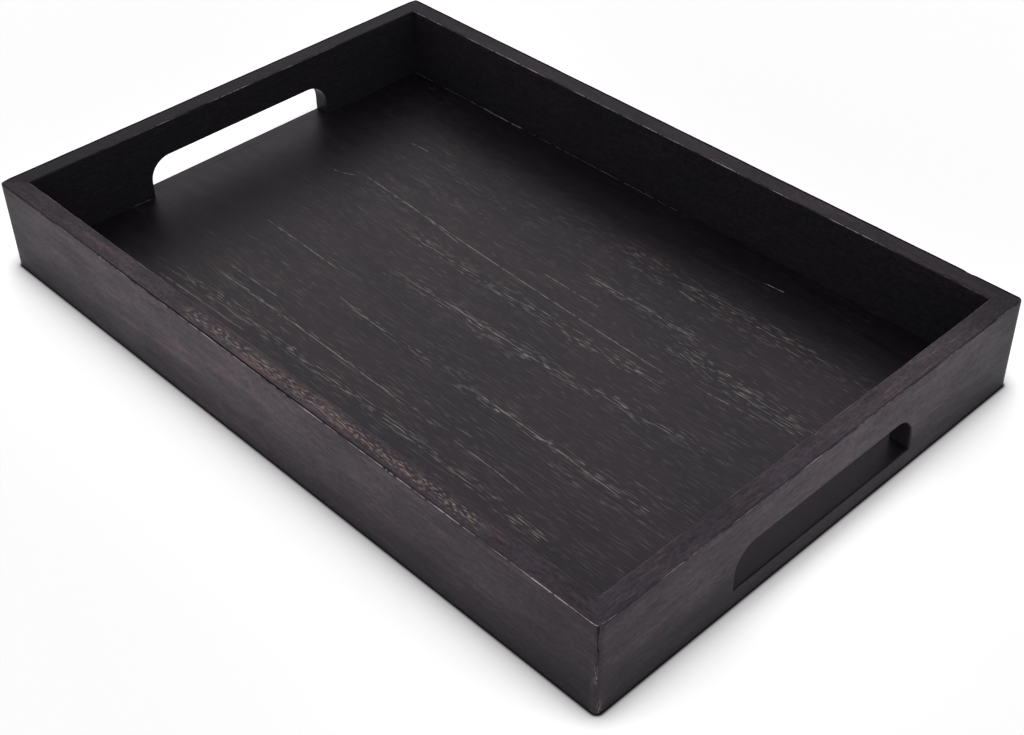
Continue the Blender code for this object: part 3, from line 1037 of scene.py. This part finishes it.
def white_paper(name, sizes):
    """Matt white background paper, lit to white, which keeps the tray's short shadow.

    With d the distance from the tray's foot, the paper that the camera and reflections
    see has the colour (1 + 0.88 e^(-d / 32 mm)) (1 - 0.66 e^(-d / 8 mm)) times
    (1 - 0.97 e^(-(d / 0.8 mm)^2)): the first term makes up for the light that the tray's
    walls take away, the second is the soft shade where the tray stands, and the
    third the dark line where it touches the paper.
    """
    material, tree, _ = new_material(name)
    tree.nodes.clear()
    radius, origin = sizes.corner_radius, (0.0, 0.0, 0.0)
    round_centre = (CAD_BOX[1].x - radius, CAD_BOX[1].y - radius, 0.0)
    outside = add(tree, "TexCoord", output="Object")
    for operation, operand in (
        ("ABSOLUTE", origin), ("SUBTRACT", round_centre), ("MAXIMUM", origin), ("MULTIPLY", (1.0, 1.0, 0.0)),
    ):
        outside = add(tree, "VectorMath", {0: outside, 1: operand}, operation=operation)
    distance = add(tree, "VectorMath", {0: outside}, "Value", operation="LENGTH")
    for operation, operand in (("SUBTRACT", radius), ("MAXIMUM", 0.0)):
        distance = add(tree, "Math", {0: distance, 1: operand}, operation=operation)
    shades = []
    for change, exponent in (
        (0.88, product(tree, distance, -1 / (32 * MM))),
        (-0.66, product(tree, distance, -1 / (8 * MM))),
        (-0.97, product(tree, distance, distance, -1 / (0.8 * MM) ** 2)),
    ):
        fading = add(tree, "Math", {0: exponent}, operation="EXPONENT")
        shades.append(add(tree, "Math", {0: fading, 1: change, 2: 1.0}, operation="MULTIPLY_ADD"))
    ray = add(tree, "LightPath", output=None).outputs
    looked_at = ray["Is Camera Ray"]
    for other in ("Is Glossy Ray", "Is Transmission Ray"):
        looked_at = add(tree, "Math", {0: looked_at, 1: ray[other]}, operation="MAXIMUM")
    white = add(tree, "VectorMath", {0: PAPER_TINT, "Scale": product(tree, *shades)}, operation="SCALE")
    seen = add(tree, "Mix", {
        MIX_SHARE: looked_at, MIX_FIRST: (PAPER_GREY, PAPER_GREY, PAPER_GREY, 1.0), MIX_SECOND: white,
    }, MIXED, data_type="RGBA")
    add(tree, "OutputMaterial", {"Surface": add(tree, "BsdfDiffuse", {"Color": seen})}, None)
    return material


class TRAY_OT_rails(bpy.types.Operator):
    """Makes the long front and back rails"""

    bl_idname = "tray.rails"
    bl_label = "Rails"

    def execute(self, context):
        sizes, colours = context.scene.tray_sizes, context.scene.tray_colours
        for name, turn in RAILS.items():
            shape, grain = SEEDS[name]
            rail = make_rail(f"{name}_board", turn, shape, RUBBING[name], DENTS.get(name, ()), sizes)
            gold = GOLDEN_STREAKS.get(name, ())
            wood = stained_wood(f"stained_acacia_{name}", "rail", grain, colours, gold=gold)
            rail.data.materials.append(wood)
            stand_for(rail, name)
        return {"FINISHED"}


class TRAY_OT_end_boards(bpy.types.Operator):
    """Makes the two short wall boards with their finger slots"""

    bl_idname = "tray.end_boards"
    bl_label = "End boards"

    def execute(self, context):
        sizes, colours = context.scene.tray_sizes, context.scene.tray_colours
        for name, turn in END_BOARDS.items():
            shape, grain, ledge_grain = SEEDS[name]
            board = make_end_board(f"{name}_panel", turn, shape, RUBBING[name], sizes)
            board.data.materials.append(stained_wood(f"stained_acacia_{name}", "end_board", grain, colours))
            ledge = stained_wood(f"stained_acacia_{name}_ledge", "ledge", ledge_grain, colours)
            finish_ledge(board, ledge, sizes)
            stand_for(board, name)
        return {"FINISHED"}


class TRAY_OT_floor(bpy.types.Operator):
    """Makes the staves of the tray's floor"""

    bl_idname = "tray.floor"
    bl_label = "Floor staves"

    def execute(self, context):
        sizes, colours = context.scene.tray_sizes, context.scene.tray_colours
        boxes = [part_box(name) for name in STAVES]
        seams = [(near[1].y + far[0].y) / 2 for near, far in zip(boxes, boxes[1:])]
        edges = [boxes[0][0].y, *seams, boxes[-1][1].y]
        tight, opening = (sizes.tight_seam, sizes.tight_seam), (sizes.tight_seam, sizes.open_seam)
        eased = [tight, opening, tight, tight, tight]
        for i, name in enumerate(STAVES):
            shape, grain = SEEDS[name]
            stave = make_stave(f"{name}_plank", edges[i], edges[i + 1], eased[i], eased[i + 1], shape, sizes)
            stave.data.materials.append(stained_wood(
                f"stained_acacia_{name}", "floor", grain, colours, GRAIN_LINES[name], POROUS_BANDS[name],
            ))
            stand_for(stave, name)
        return {"FINISHED"}


class TRAY_OT_keys(bpy.types.Operator):
    """Gives the keys inside the mitres their raw beech"""

    bl_idname = "tray.keys"
    bl_label = "Mitre keys"

    def execute(self, context):
        beech = planed_beech("planed_beech_key", context.scene.tray_colours)
        for name in KEYS:
            materials = bpy.data.objects[name].data.materials
            materials.clear()
            materials.append(beech)
        return {"FINISHED"}


class TRAY_OT_stage(bpy.types.Operator):
    """Makes the white studio: floor, light and camera"""

    bl_idname = "tray.stage"
    bl_label = "Studio"

    def execute(self, context):
        scene = context.scene
        studio = scene.tray_studio
        mesh = bpy.data.meshes.new("studio_floor")
        corners = [(x * STUDIO_HALF, y * STUDIO_HALF, 0) for x, y in ((-1, -1), (1, -1), (1, 1), (-1, 1))]
        mesh.from_pydata(corners, [], [(0, 1, 2, 3)])
        mesh.materials.append(white_paper("white_paper", scene.tray_sizes))
        ground = bpy.data.objects.new("studio_floor", mesh)
        scene.collection.objects.link(ground)
        ground.location.z = -PAPER_DROP
        scene.world = bpy.data.worlds.new("studio_tent")
        scene.world.use_nodes = True
        tent = scene.world.node_tree
        fill(tent, tent.nodes["Background"], {"Color": (1, 1, 1, 1), "Strength": studio.sky})
        camera = bpy.data.objects.new("camera", bpy.data.cameras.new("camera"))
        scene.collection.objects.link(camera)
        camera.data.sensor_width = 36.0
        camera.data.clip_start = 0.01
        for key in ("lens", "shift_x", "shift_y"):
            setattr(camera.data, key, getattr(studio, key))
        camera.location = studio.camera_place
        camera.rotation_mode = "QUATERNION"
        roll = Matrix.Rotation(studio.camera_roll, 3, "Z").to_quaternion()
        camera.rotation_quaternion = Vector(studio.camera_aim).to_track_quat("-Z", "Y") @ roll
        scene.camera = camera
        scene.view_settings.view_transform = "Standard"
        return {"FINISHED"}


class TRAY_PT_sidebar(bpy.types.Panel):
    """Sizes, colours and building steps of the tray, in the 3D view's sidebar"""

    bl_idname = "TRAY_PT_sidebar"
    bl_label = "Stained wooden tray"
    bl_space_type = "VIEW_3D"
    bl_region_type = "UI"
    bl_category = "Tray"

    def draw(self, context):
        for key, group in SETTINGS.items():
            box = self.layout.box()
            for name in group.__annotations__:
                box.prop(getattr(context.scene, key), name)
        for operator in OPERATORS:
            self.layout.operator(operator.bl_idname, text=operator.bl_label)


SETTINGS = {"tray_sizes": TraySizes, "tray_colours": TrayColours, "tray_studio": TrayStudio}
OPERATORS = (TRAY_OT_rails, TRAY_OT_end_boards, TRAY_OT_floor, TRAY_OT_keys, TRAY_OT_stage)
CLASSES = (*SETTINGS.values(), *OPERATORS, TRAY_PT_sidebar)


def register():
    for cls in CLASSES:
        bpy.utils.register_class(cls)
    for key, group in SETTINGS.items():
        setattr(bpy.types.Scene, key, bpy.props.PointerProperty(type=group))


def unregister():
    for key in SETTINGS:
        delattr(bpy.types.Scene, key)
    for cls in reversed(CLASSES):
        bpy.utils.unregister_class(cls)


def main():
    """Builds the whole scene."""
    register()
    bpy.ops.tray.rails()
    bpy.ops.tray.end_boards()
    bpy.ops.tray.floor()
    bpy.ops.tray.keys()
    bpy.ops.tray.stage()


if __name__ == "__main__":
    main()
